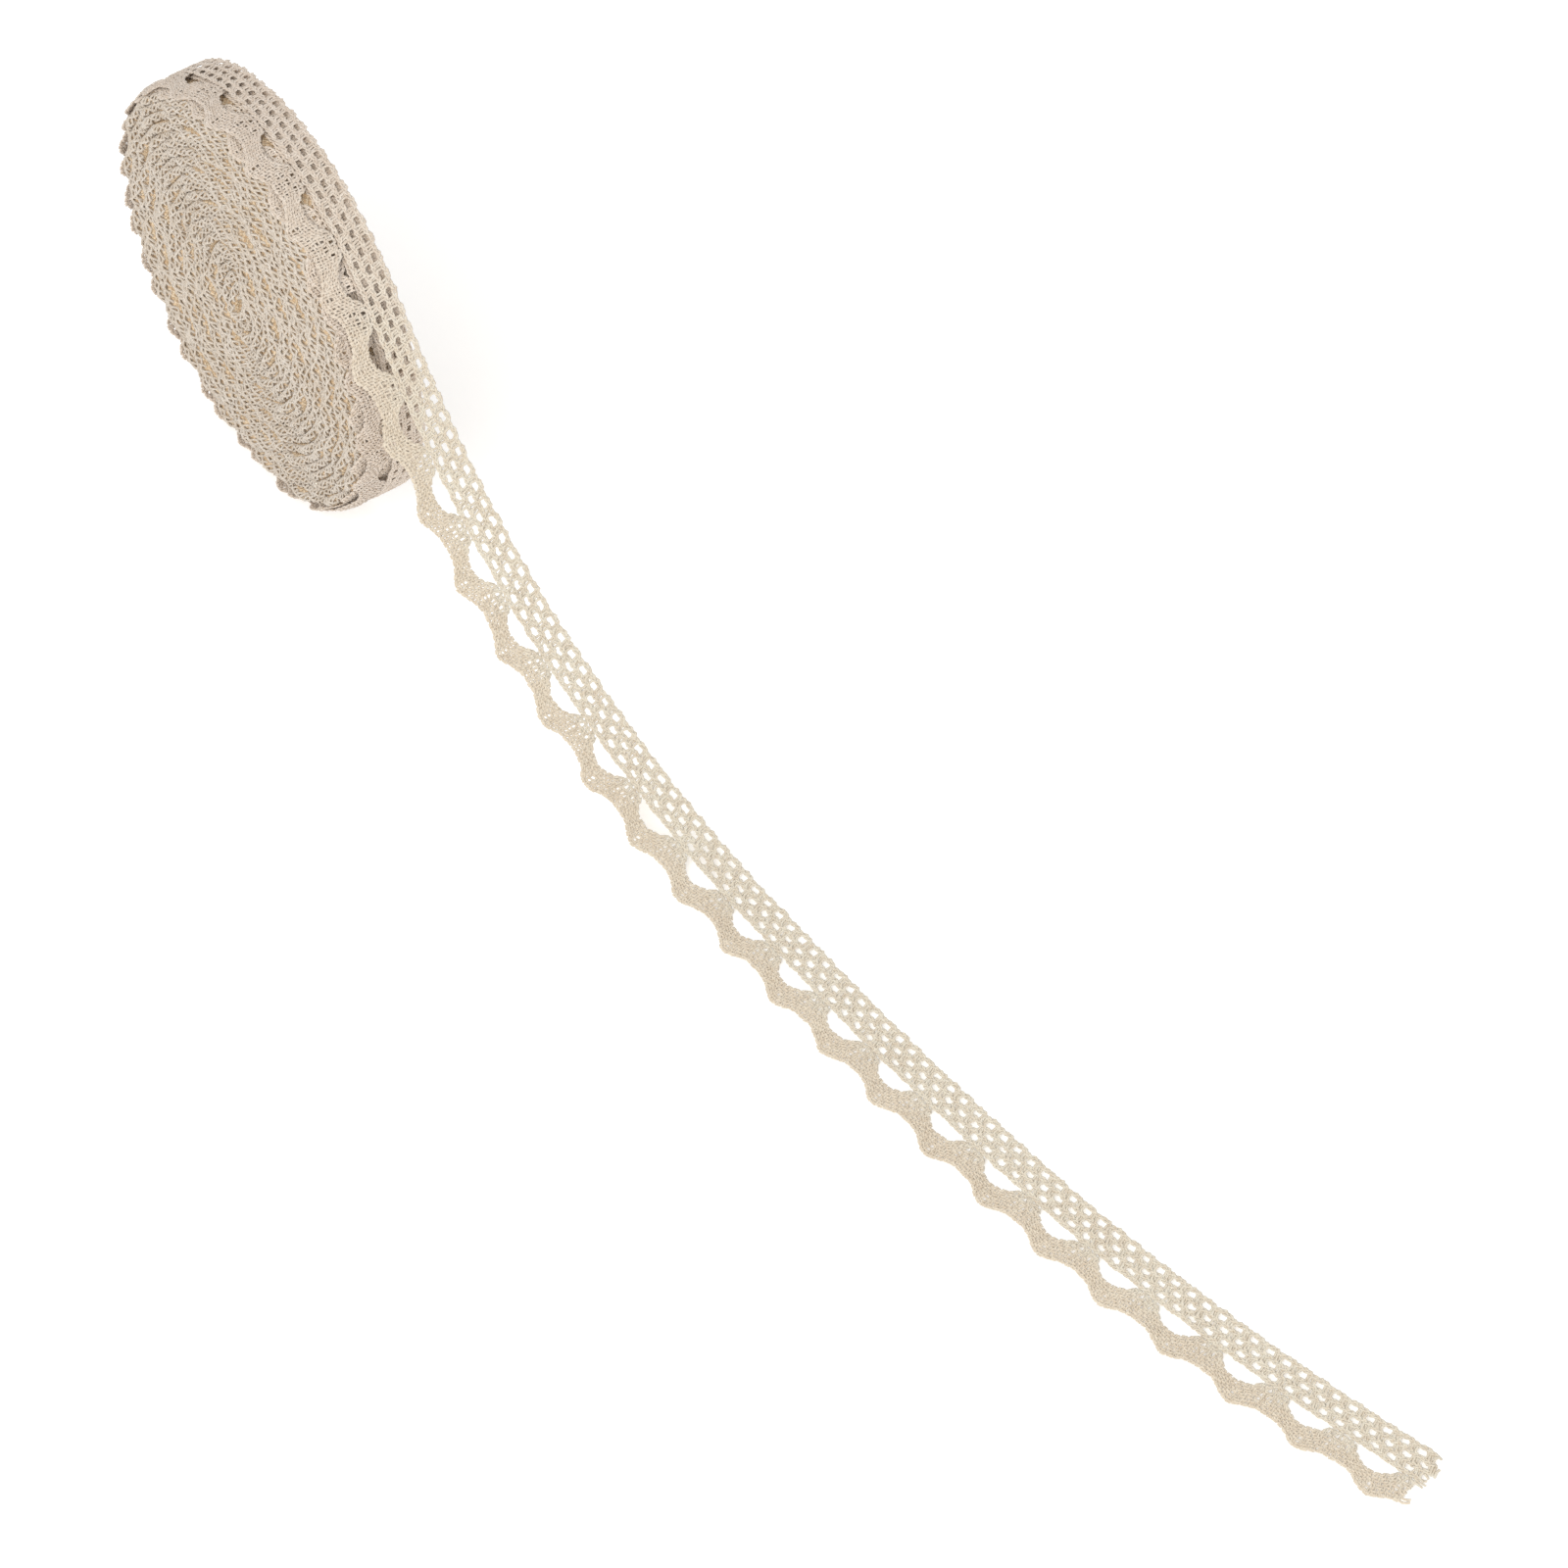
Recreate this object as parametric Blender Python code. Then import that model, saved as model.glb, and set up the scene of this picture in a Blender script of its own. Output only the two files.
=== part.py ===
"""A roll of narrow cotton lace trim, standing on its rim with its loose end on the floor.

Units are metres and +Z is up. The roll's axis is X: the scalloped edges of its turns face -X and
the straight edges face +X. The origin is the middle of the small flat foot that the roll stands
on. The outer turn comes over the top, leaves the roll at the upper front, slopes down to the
floor and runs away along -Y.
"""

import math

import bmesh
import bpy
from mathutils import Vector

# The strip of lace.
LACE_WIDTH = 0.012
LACE_THICKNESS = 0.001
REPEAT = 0.012
SCALLOP_DEPTH = 0.0016
TIP_LEAD = 0.15             # a scallop's tip lies this share of a repeat past its eyelet
FIRST_EYELET = 0.0095       # along the loose end, from where it leaves the roll

# The wound roll.
ROLL_DIAMETER = 0.075
TURN_PITCH = 0.0015
FOOT_LENGTH = 0.014
RIM_BEVEL = 0.0006
STEP_ANGLE = math.radians(0.5)
RIDGE_PITCH = 0.011
RIDGE_HEIGHT = 0.0006
ROLL_STATIONS = 97
FACE_RINGS = 10

# The loose end.
EXIT_ANGLE = math.radians(38.0)     # where it leaves the roll, above the roll's middle height
DROP_POWER = 1.6                    # how late the slope eases on the way down
LOOSE_LENGTH = 0.257
LOOSE_STEP = 0.002
CLEARANCE = 0.0003

# How far the loose end has turned from -Y towards +X.
HEADINGS = (
    # distance, degrees
    (0.000, 0.0),
    (0.060, 6.0),
    (0.120, 1.5),
    (0.180, 7.0),
    (0.240, 16.0),
    (0.260, 17.0),
)

OUTER_RADIUS = ROLL_DIAMETER / 2
OUTER_TURN_RADIUS = OUTER_RADIUS - LACE_THICKNESS / 2
BOTTOM_ANGLE = math.radians(270.0)


def surface_radius(angle):
    """The wound surface's radius: one turn pitch is lost in a full turn back from the exit."""
    share = (angle - EXIT_ANGLE) / math.tau
    return OUTER_RADIUS - TURN_PITCH * share


AXIS_HEIGHT = math.sqrt(surface_radius(BOTTOM_ANGLE) ** 2 - (FOOT_LENGTH / 2) ** 2)


def clear_scene():
    for item in list(bpy.data.objects):
        bpy.data.objects.remove(item, do_unlink=True)


def lace_material(name, colour):
    material = bpy.data.materials.new(name)
    material.use_nodes = True
    shader = material.node_tree.nodes["Principled BSDF"]
    shader.inputs["Base Color"].default_value = (*colour, 1.0)
    shader.inputs["Roughness"].default_value = 0.9
    shader.inputs["Metallic"].default_value = 0.0
    return material


def scalloped_width(distance):
    """The strip's width at a distance along the loose end, from valley to scallop tip."""
    turns = (distance - FIRST_EYELET) / REPEAT - TIP_LEAD
    return LACE_WIDTH - SCALLOP_DEPTH * (0.5 - 0.5 * math.cos(math.tau * turns))


def add_object(name, mesh_builder, material):
    """Turn a bmesh into a smooth-shaded object with its one material."""
    bmesh.ops.recalc_face_normals(mesh_builder, faces=mesh_builder.faces)
    mesh = bpy.data.meshes.new(name)
    mesh_builder.to_mesh(mesh)
    mesh_builder.free()
    mesh.materials.append(material)
    mesh.shade_smooth()
    mesh.set_sharp_from_angle(angle=math.radians(35.0))
    built = bpy.data.objects.new(name, mesh)
    bpy.context.scene.collection.objects.link(built)
    return built


def roll_point(x, radius, angle):
    """A point of the roll. The foot cuts off whatever would reach below the floor."""
    if math.sin(angle) < 0.0:
        radius = min(radius, -AXIS_HEIGHT / math.sin(angle))
    z = AXIS_HEIGHT + radius * math.sin(angle)
    return Vector((x, -radius * math.cos(angle), max(z, 0.0)))


def face_relief(radius, angle):
    """Shallow spiral ridges, which stand for the edges of the wound turns."""
    return RIDGE_HEIGHT * (0.5 + 0.5 * math.cos(math.tau * radius / RIDGE_PITCH + angle))


def roll_station(angle):
    """One radial section: scalloped side from the middle out, over the rim, straight side in."""
    rim = surface_radius(angle)
    distance = -OUTER_TURN_RADIUS * (angle - EXIT_ANGLE)
    near_edge = LACE_WIDTH / 2 - scalloped_width(distance)
    far_edge = LACE_WIDTH / 2
    near_face = -LACE_WIDTH / 2 + SCALLOP_DEPTH / 2
    inner_rim = rim - RIM_BEVEL

    near_side = []
    far_side = []
    for ring in range(1, FACE_RINGS):
        radius = inner_rim * ring / FACE_RINGS
        relief = face_relief(radius, angle)
        near_side.append(roll_point(near_face + relief, radius, angle))
        far_side.append(roll_point(far_edge - relief, radius, angle))

    section = near_side
    section.append(roll_point(near_edge, inner_rim, angle))
    section.append(roll_point(near_edge + RIM_BEVEL, rim, angle))
    section.append(roll_point(far_edge - RIM_BEVEL, rim, angle))
    section.append(roll_point(far_edge, inner_rim, angle))
    section.extend(reversed(far_side))
    return section


def build_wound_roll(material):
    """The disc of turns, with the small step where the outer turn leaves it."""
    builder = bmesh.new()
    sweep = math.tau - STEP_ANGLE
    rows = []
    for station in range(ROLL_STATIONS):
        angle = EXIT_ANGLE + STEP_ANGLE + sweep * station / (ROLL_STATIONS - 1)
        rows.append([builder.verts.new(point) for point in roll_station(angle)])

    near_middle = builder.verts.new((-LACE_WIDTH / 2 + SCALLOP_DEPTH / 2, 0.0, AXIS_HEIGHT))
    far_middle = builder.verts.new((LACE_WIDTH / 2, 0.0, AXIS_HEIGHT))
    for row, next_row in zip(rows, rows[1:] + rows[:1]):
        builder.faces.new((near_middle, row[0], next_row[0]))
        builder.faces.new((far_middle, next_row[-1], row[-1]))
        for column in range(len(row) - 1):
            corners = (row[column], row[column + 1], next_row[column + 1], next_row[column])
            builder.faces.new(corners)
    return add_object("wound_roll", builder, material)


def heading_at(distance):
    """The loose end's direction in plan, between the rows of HEADINGS."""
    for (start, first), (end, second) in zip(HEADINGS, HEADINGS[1:]):
        if distance <= end:
            share = (distance - start) / (end - start)
            return math.radians(first + (second - first) * share)
    return math.radians(HEADINGS[-1][1])


def slope_share(share):
    """What is left of the slope at a share of the way down."""
    return 1.0 - share ** DROP_POWER if share < 1.0 else 0.0


def drop_length():
    """The length of strip between the roll and the floor."""
    steps = 400
    start_slope = math.pi / 2 - EXIT_ANGLE
    fall = AXIS_HEIGHT + OUTER_TURN_RADIUS * math.sin(EXIT_ANGLE) - LACE_THICKNESS / 2
    slopes = [start_slope * slope_share((step + 0.5) / steps) for step in range(steps)]
    return fall / (sum(math.sin(slope) for slope in slopes) / steps)


def loose_stations():
    """Points, side and surface directions along the loose end, from the roll to the cut."""
    start_slope = math.pi / 2 - EXIT_ANGLE
    length = drop_length()
    place = Vector((
        0.0,
        -OUTER_TURN_RADIUS * math.cos(EXIT_ANGLE),
        AXIS_HEIGHT + OUTER_TURN_RADIUS * math.sin(EXIT_ANGLE),
    ))
    count = round(LOOSE_LENGTH / LOOSE_STEP)
    step = LOOSE_LENGTH / count
    stations = []
    for index in range(count + 1):
        distance = index * step
        heading = heading_at(distance)
        slope = start_slope * slope_share(distance / length)
        side = Vector((math.cos(heading), math.sin(heading), 0.0))
        along = Vector((
            math.sin(heading) * math.cos(slope),
            -math.cos(heading) * math.cos(slope),
            -math.sin(slope),
        ))
        if distance >= length:
            place.z = LACE_THICKNESS / 2
        stations.append((distance, place.copy(), along, side, along.cross(side)))

        middle = distance + step / 2
        heading = heading_at(middle)
        slope = start_slope * slope_share(middle / length)
        place.x += step * math.sin(heading) * math.cos(slope)
        place.y -= step * math.cos(heading) * math.cos(slope)
        place.z -= step * math.sin(slope)
    return stations


def build_loose_end(material):
    """The free strip: straight on one edge, scalloped on the other."""
    builder = bmesh.new()
    rows = []
    for distance, place, along, side, surface in loose_stations():
        if distance == 0.0:
            place = place + along * CLEARANCE
        straight_edge = place + side * (LACE_WIDTH / 2)
        scalloped_edge = straight_edge - side * scalloped_width(distance)
        half = surface * (LACE_THICKNESS / 2)
        corners = (
            straight_edge + half,
            scalloped_edge + half,
            scalloped_edge - half,
            straight_edge - half,
        )
        rows.append([builder.verts.new(corner) for corner in corners])

    for row, next_row in zip(rows, rows[1:]):
        for corner in range(4):
            after = (corner + 1) % 4
            builder.faces.new((row[corner], row[after], next_row[after], next_row[corner]))
    builder.faces.new(rows[0])
    builder.faces.new(rows[-1])
    return add_object("loose_end", builder, material)


def main():
    clear_scene()
    build_wound_roll(lace_material("wound_lace", (0.72, 0.63, 0.53)))
    build_loose_end(lace_material("loose_lace", (0.79, 0.67, 0.51)))


main()
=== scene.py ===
# %% [markdown]
# # A roll of cotton lace trim
# A narrow bobbin-lace edging, wound up on itself and standing on its rim. The last stretch has come
# off the roll and runs out over the table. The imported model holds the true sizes, so it is opened
# first and every piece below is laid where its solids are.

import math

import bpy
import numpy as np
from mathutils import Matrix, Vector


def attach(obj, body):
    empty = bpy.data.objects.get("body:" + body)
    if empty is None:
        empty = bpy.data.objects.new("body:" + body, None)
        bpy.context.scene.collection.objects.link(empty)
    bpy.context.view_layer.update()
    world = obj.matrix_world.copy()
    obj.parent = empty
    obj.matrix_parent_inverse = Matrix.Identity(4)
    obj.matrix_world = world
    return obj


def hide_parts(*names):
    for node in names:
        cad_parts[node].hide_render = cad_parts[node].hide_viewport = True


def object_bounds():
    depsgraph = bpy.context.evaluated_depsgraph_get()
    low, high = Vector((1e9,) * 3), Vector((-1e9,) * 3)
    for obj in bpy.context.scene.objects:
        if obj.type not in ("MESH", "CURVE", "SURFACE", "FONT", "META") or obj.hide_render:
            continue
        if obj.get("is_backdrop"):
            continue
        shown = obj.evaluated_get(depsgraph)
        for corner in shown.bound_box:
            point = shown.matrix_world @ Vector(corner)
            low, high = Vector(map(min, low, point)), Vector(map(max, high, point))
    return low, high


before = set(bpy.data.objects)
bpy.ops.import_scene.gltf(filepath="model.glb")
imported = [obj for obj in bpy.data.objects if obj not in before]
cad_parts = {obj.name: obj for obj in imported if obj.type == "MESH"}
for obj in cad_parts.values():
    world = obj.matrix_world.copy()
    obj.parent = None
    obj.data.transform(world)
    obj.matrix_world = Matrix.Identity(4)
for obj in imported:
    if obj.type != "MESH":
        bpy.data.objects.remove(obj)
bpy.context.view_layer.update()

# %% [markdown]
# ## Sizes of the strip and the roll
# The maker's sizes are the strip's width, the length of one pattern repeat and the pitch at which
# the turns lie on each other. All else follows from them. The spiral's top and the imported model's
# should agree to a fraction of a millimetre.

# %% Sizes
MM = 0.001
WIDTH = 12 * MM                 # over the scallop tips
REPEAT = 12 * MM                # one scallop, one eyelet
SCALLOP_DEPTH = 1.8 * MM
TIP_LEAD = 0.1                  # a tip lies this share of a repeat past its eyelet
FIRST_EYELET = 9.5 * MM         # along the loose end, from where it leaves the roll

OUTER_TURN = 37 * MM            # radius of the middle of the outermost turn
PITCH = 1.5 * MM
HALF_LACE = 0.5 * MM            # from the middle of a turn to its outer surface
FOOT_LENGTH = 14 * MM
EXIT_ANGLE = math.radians(38)   # where the loose end leaves, above the roll's middle height
DROP_POWER = 1.6                # how late the slope eases on the way down
LACE_REST = 0.46 * MM           # height of the middle of the lace where it lies on the table

BOTTOM_ANGLE = math.radians(270)
bottom_turn = OUTER_TURN + HALF_LACE - PITCH * (BOTTOM_ANGLE - EXIT_ANGLE) / math.tau
AXIS_HEIGHT = math.sqrt(bottom_turn ** 2 - (FOOT_LENGTH / 2) ** 2)

# %% [markdown]
# ## The line that the lace follows
# Every turn and the loose end are one strip, so they share one kind of guide: a line of points
# through the middle of the strip, each with the direction of its straight edge. On the roll the
# line is a spiral round the X axis. A perfect spiral looks like a machined part, so each turn
# wanders by a few tenths of a millimetre, and the middle is pinched into an oval. Off the roll the
# slope eases from the tangent to level, and the strip bears a little to the right on the way.

# %% The spiral of the wound turns
PRESSED_CLOSE = 0.75 * MM       # the turns under the outer one sit tight against it
SHOULDER = 0.9 * MM             # the outer turns have slipped back from the bulging side
SHOULDER_TURNS = 7
LOOSE_FROM = 1.2                # the wander starts this many turns down and grows over three
PINCH = 0.75                    # how much taller the middle is drawn than it would be when round
PINCH_REACH = 5 * MM
OPEN_CENTRE = 9 * MM            # inside this radius the turns are pressed less and less


def roll_offset(angle, radius):
    """How far a turn wanders from a perfect spiral: outwards, and to the side."""
    depth = (OUTER_TURN - radius) / PITCH
    looseness = min(1.0, max(0.0, (depth - LOOSE_FROM) / 3))
    out = math.sin(2 * angle + radius * 900) * 0.10 + math.sin(3 * angle - radius * 520) * 0.07
    aside = math.sin(angle + radius * 700) * 0.26 + math.sin(2 * angle - radius * 1500) * 0.20
    pressed = min(1.0, max(0.0, depth)) + 0.7 * min(1.0, max(0.0, depth - 1))
    pressed *= PRESSED_CLOSE * min(1.0, radius / OPEN_CENTRE)
    bulge = SHOULDER * math.sin(math.pi / 2 * min(1.0, max(0.0, depth / SHOULDER_TURNS)))
    return out * looseness * MM + pressed, aside * looseness * MM - bulge


def turn_radius(angle):
    return OUTER_TURN - PITCH * (angle - EXIT_ANGLE) / math.tau


def spiral_point(angle):
    """The middle of the wound strip at an angle counted back from the exit."""
    radius = turn_radius(angle)
    out, aside = roll_offset(angle, radius)
    oval = 1 + PINCH * math.exp(-radius / PINCH_REACH)
    height = (radius + out) * math.sin(angle) * oval
    depth = -(radius + out) * math.cos(angle) / math.sqrt(oval)
    turns_below = max(0.0, (angle - BOTTOM_ANGLE) / math.tau)
    # No turn sinks below this height: that makes the flat foot.
    lowest = LACE_REST + (turns_below * 1.1 - 0.35 * min(1.0, turns_below)) * MM
    return Vector((aside, depth, max(AXIS_HEIGHT + height, lowest)))


def spiral_line(first_angle, last_angle):
    """Points from an inner angle out to one nearer the exit, close where the turns are tight."""
    points = []
    angle = first_angle
    while angle > last_angle:
        points.append(spiral_point(angle))
        angle -= min(1 * MM / turn_radius(angle), 0.16)
    points.append(spiral_point(last_angle))
    return points


# %% The loose end's line
HEADINGS = (
    # distance in millimetres, degrees from -Y towards +X
    (0, 0.0),
    (60, 6.0),
    (120, 1.5),
    (180, 7.0),
    (240, 16.0),
    (270, 18.0),
)


def heading_at(distance):
    marks = [row[0] * MM for row in HEADINGS]
    return math.radians(np.interp(distance, marks, [row[1] for row in HEADINGS]))


def loose_line(length, step=1 * MM):
    """Points from the exit down to the table and along it, with the straight edge's direction."""
    start_slope = math.pi / 2 - EXIT_ANGLE
    shares = (np.arange(400) + 0.5) / 400
    fall = AXIS_HEIGHT + OUTER_TURN * math.sin(EXIT_ANGLE) - LACE_REST
    drop = fall / np.sin(start_slope * (1 - shares ** DROP_POWER)).mean()
    place = Vector((0, -OUTER_TURN * math.cos(EXIT_ANGLE),
                    AXIS_HEIGHT + OUTER_TURN * math.sin(EXIT_ANGLE)))
    points = []
    sides = []
    for index in range(int(length / step) + 1):
        distance = index * step
        heading = heading_at(distance)
        points.append(place.copy())
        sides.append(Vector((math.cos(heading), math.sin(heading), 0)))
        share = min(1.0, (distance + step / 2) / drop)
        slope = start_slope * (1 - share ** DROP_POWER)
        place.x += step * math.sin(heading) * math.cos(slope)
        place.y -= step * math.cos(heading) * math.cos(slope)
        place.z = max(place.z - step * math.sin(slope), LACE_REST)
    print("the loose end meets the table after", round(drop / MM, 1), "mm")
    return points, sides


# %% Guides as objects
def placed(name, data):
    """A new object with the given mesh, lamp or camera, in the scene."""
    thing = bpy.data.objects.new(name, data)
    bpy.context.scene.collection.objects.link(thing)
    return thing


def guide(name, points, sides):
    """A line of edges that carries, at each point, the direction of the straight edge."""
    mesh = bpy.data.meshes.new(name)
    mesh.from_pydata(points, [(i, i + 1) for i in range(len(points) - 1)], [])
    side = mesh.attributes.new("side", "FLOAT_VECTOR", "POINT")
    side.data.foreach_set("vector", [value for vector in sides for value in vector])
    return placed(name, mesh)


def line_length(points):
    return sum((b - a).length for a, b in zip(points, points[1:]))


# %% The two guides
LOOSE_REPEATS = 21
OUTER_REPEATS = 20
SECOND_REPEATS = 20
JOIN = FIRST_EYELET - REPEAT / 2        # the bridge between two eyelets, just off the roll
SLACK = 0.978                           # the turn below was wound slacker, so it is shorter
TUCK = 5.5 * MM                         # it is tucked on so that its bridges back the eyelets
FRAY_ROOM = 6 * MM
GUIDE_SPARE = 0.08                      # the guide starts this angle before the second turn does

# A turn's sweep is its length over its mean radius, which pressing has moved outwards.
outer_sweep = (OUTER_REPEATS * REPEAT - JOIN) / (OUTER_TURN - 0.25 * PITCH)
second_sweep = SECOND_REPEATS * REPEAT * SLACK / (OUTER_TURN - 0.9 * PITCH)
outer_points = spiral_line(EXIT_ANGLE + outer_sweep + second_sweep + GUIDE_SPARE, EXIT_ANGLE)
loose_points, loose_sides = loose_line(LOOSE_REPEATS * REPEAT + JOIN + FRAY_ROOM)
run_points = outer_points[:-1] + loose_points
run_sides = [Vector((1, 0, 0))] * (len(outer_points) - 1) + loose_sides
run_guide = guide("run_guide", run_points, run_sides)
exit_on_run = line_length(outer_points)

INNER_END = 0.6 * MM                    # radius at which the winding begins
OVERLAP = 0.12                          # the ribbon below runs on under the second turn's start
inner_start = EXIT_ANGLE + math.tau * (OUTER_TURN - INNER_END) / PITCH
wound_end = EXIT_ANGLE + outer_sweep + second_sweep - TUCK / OUTER_TURN - OVERLAP
wound_points = spiral_line(inner_start, wound_end)
wound_guide = guide("wound_guide", wound_points, [Vector((1, 0, 0))] * len(wound_points))
wound_length = line_length(wound_points)
print("wound under the two outer turns:", round(wound_length, 3), "m in",
      round((inner_start - EXIT_ANGLE) / math.tau - 2, 1), "turns")

# %% [markdown]
# ## The finish of the yarn
# The lace is unbleached cotton: matt, a little uneven in colour, with the slant of its two plies
# showing close up. The plies could be modelled, but at a third of a millimetre they cost millions
# of faces, so they are a bump that runs with the yarn: the tubes carry how far along and how far
# round each point is. The same cotton looks different from place to place. Off the roll it is
# creamier, with the dense band a little browner than the open ground. On the roll it is rosier. The
# turn below gets only the light that comes through the turn above, so its ground is made lighter to
# make up for it. What lies deepest is browner, because its light comes by way of other yarn.

# %% Helpers for materials
def new_material(name, roughness, sheen):
    material = bpy.data.materials.new(name)
    material.use_nodes = True
    shader = material.node_tree.nodes["Principled BSDF"]
    shader.inputs["Roughness"].default_value = roughness
    shader.inputs["Sheen Weight"].default_value = sheen
    shader.inputs["Sheen Roughness"].default_value = 0.5
    shader.inputs["Specular IOR Level"].default_value = 0.25
    return material, material.node_tree, shader


def math_node(tree, operation, first, second=None, third=None):
    node = tree.nodes.new("ShaderNodeMath")
    node.operation = operation
    for socket, value in zip(node.inputs, (first, second, third)):
        if isinstance(value, bpy.types.NodeSocket):
            tree.links.new(value, socket)
        elif value is not None:
            socket.default_value = value
    return node.outputs[0]


def noise_node(tree, vector, size, detail=2.0):
    """Noise whose patches are about size across."""
    node = tree.nodes.new("ShaderNodeTexNoise")
    node.inputs["Scale"].default_value = 1 / size
    node.inputs["Detail"].default_value = detail
    tree.links.new(vector, node.inputs["Vector"])
    return node.outputs["Fac"]


def colour_mix(tree, share, first, second):
    node = tree.nodes.new("ShaderNodeMix")
    node.data_type = "RGBA"
    tree.links.new(share, node.inputs["Factor"])
    for socket, value in ((node.inputs[6], first), (node.inputs[7], second)):
        if isinstance(value, bpy.types.NodeSocket):
            tree.links.new(value, socket)
        else:
            socket.default_value = (*value, 1)
    return node.outputs[2]


def attribute(tree, name, output):
    node = tree.nodes.new("ShaderNodeAttribute")
    node.attribute_name = name
    return node.outputs[output]


def add_bump(tree, shader, height, distance):
    node = tree.nodes.new("ShaderNodeBump")
    node.inputs["Distance"].default_value = distance
    tree.links.new(height, node.inputs["Height"])
    tree.links.new(node.outputs["Normal"], shader.inputs["Normal"])


# %% Cotton yarn
PLY_PITCH = 0.8 * MM
PLY_DEPTH = 0.06 * MM
FIBRE = 0.12 * MM
BAND_FROM = 6.4 * MM            # across the strip: the band's colour starts here
BAND_EASE = 2 * MM
COLOUR_EASE = 60 * MM           # the colour eases over this length about the exit
PATCH = 9 * MM                  # size of the broad patches of deeper colour
SPECK = 0.7 * MM
DRIFT = 0.75                    # how far the deepest places go to the deep colour


def yarn_material(name, wound, loose, deep):
    """Cotton yarn. Wound and loose each hold two colours, for ground and band, on the roll and
    off it. Both drift to the deep colour in patches and specks."""
    material, tree, shader = new_material(name, 0.85, 0.25)
    place = tree.nodes.new("ShaderNodeTexCoord").outputs["Object"]
    past_ground = math_node(tree, "MULTIPLY_ADD", attribute(tree, "across", "Fac"),
                            1 / BAND_EASE, -BAND_FROM / BAND_EASE)
    in_band = math_node(tree, "SMOOTH_MIN", 1.0,
                        math_node(tree, "MAXIMUM", 0.0, past_ground), 0.1)
    unrolled = math_node(tree, "MULTIPLY_ADD", attribute(tree, "on_guide", "Fac"),
                         1 / COLOUR_EASE, 0.5 - exit_on_run / COLOUR_EASE)
    unrolled.node.use_clamp = True
    colour = colour_mix(tree, unrolled, colour_mix(tree, in_band, *wound),
                        colour_mix(tree, in_band, *loose))
    patches = math_node(tree, "MULTIPLY_ADD", noise_node(tree, place, PATCH), 1.6, -0.5)
    specks = math_node(tree, "MULTIPLY_ADD", noise_node(tree, place, SPECK), 2.2, -0.85)
    drift = math_node(tree, "MULTIPLY_ADD", patches, 0.45, specks)
    drift.node.use_clamp = True
    shade = colour_mix(tree, math_node(tree, "MULTIPLY", drift, DRIFT), colour, deep)
    tree.links.new(shade, shader.inputs["Base Color"])

    split = tree.nodes.new("ShaderNodeSeparateXYZ")
    tree.links.new(attribute(tree, "around", "Vector"), split.inputs[0])
    turn = math_node(tree, "ARCTAN2", split.outputs[1], split.outputs[0])
    along = attribute(tree, "along", "Fac")
    slant = math_node(tree, "MULTIPLY_ADD", along, math.tau / PLY_PITCH,
                      math_node(tree, "MULTIPLY", turn, 2.0))
    plies = math_node(tree, "ABSOLUTE", math_node(tree, "SINE", math_node(
        tree, "MULTIPLY", slant, 0.5)))
    fibres = noise_node(tree, place, FIBRE, 3.0)
    height = math_node(tree, "MULTIPLY_ADD", fibres, 0.6, plies)
    add_bump(tree, shader, height, PLY_DEPTH)
    return material


# %% The four yarn finishes
# Each pair is the open ground, then the dense band.
# on the roll the yarn is rosier and a little darker than off it; the darkening is painted shade for the
# wound turns shading each other, and so is the roll yarn's darker deep colour below
ON_ROLL = ((0.745, 0.66, 0.58), (0.745, 0.66, 0.58))
UNDER = ((0.90, 0.80, 0.70), (0.745, 0.66, 0.58))
# the yarn along the roll's side face is painted darker, with the darkest deep colour: painted shade for
# the side that the light reaches less
PAINTED_SHADE_AT_EDGE = ((0.675, 0.615, 0.545), (0.675, 0.615, 0.545))
OFF_ROLL = ((0.77, 0.715, 0.60), (0.775, 0.69, 0.56))
loose_yarn = yarn_material("loose_yarn", ON_ROLL, OFF_ROLL, (0.63, 0.52, 0.39))
roll_yarn = yarn_material("roll_yarn", ON_ROLL, OFF_ROLL, (0.58, 0.465, 0.36))
under_yarn = yarn_material("under_yarn", UNDER, UNDER, (0.66, 0.53, 0.40))
shaded_edge_yarn = yarn_material("shaded_edge_yarn", PAINTED_SHADE_AT_EDGE, PAINTED_SHADE_AT_EDGE, (0.53, 0.43, 0.32))
print("yarn finishes:", loose_yarn.name, roll_yarn.name, under_yarn.name, shaded_edge_yarn.name)


# %% The shaded cloth inside the roll
WEAVES = (
    # measure that the yarns cross, distance between them, how much they sway
    ("on_guide", 1.05 * MM, 9.0),
    ("across", 0.95 * MM, 7.0),
)


def shaded_cloth_material(name, light, dark):
    """Cloth in shade, the shade painted into it: a weave that runs with the ribbon, in browns, and
    painted dark in the gaps between its yarns.
    """
    material, tree, shader = new_material(name, 0.95, 0.0)
    place = tree.nodes.new("ShaderNodeTexCoord").outputs["Object"]
    waver = noise_node(tree, place, 1.1 * MM)
    threads = []
    for measure, pitch, sway in WEAVES:
        turn = math_node(tree, "MULTIPLY_ADD", attribute(tree, measure, "Fac"), math.tau / pitch,
                         math_node(tree, "MULTIPLY", waver, sway))
        threads.append(math_node(tree, "SINE", turn))
    weave = math_node(tree, "MULTIPLY_ADD", math_node(tree, "MULTIPLY", *threads), 0.6, 0.55)
    patches = math_node(tree, "MULTIPLY_ADD", noise_node(tree, place, 1.3 * MM), 1.2, -0.6)
    share = math_node(tree, "ADD", weave, patches)
    share.node.use_clamp = True
    tree.links.new(colour_mix(tree, share, dark, light), shader.inputs["Base Color"])
    add_bump(tree, shader, weave, 0.3 * MM)
    return material


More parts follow.
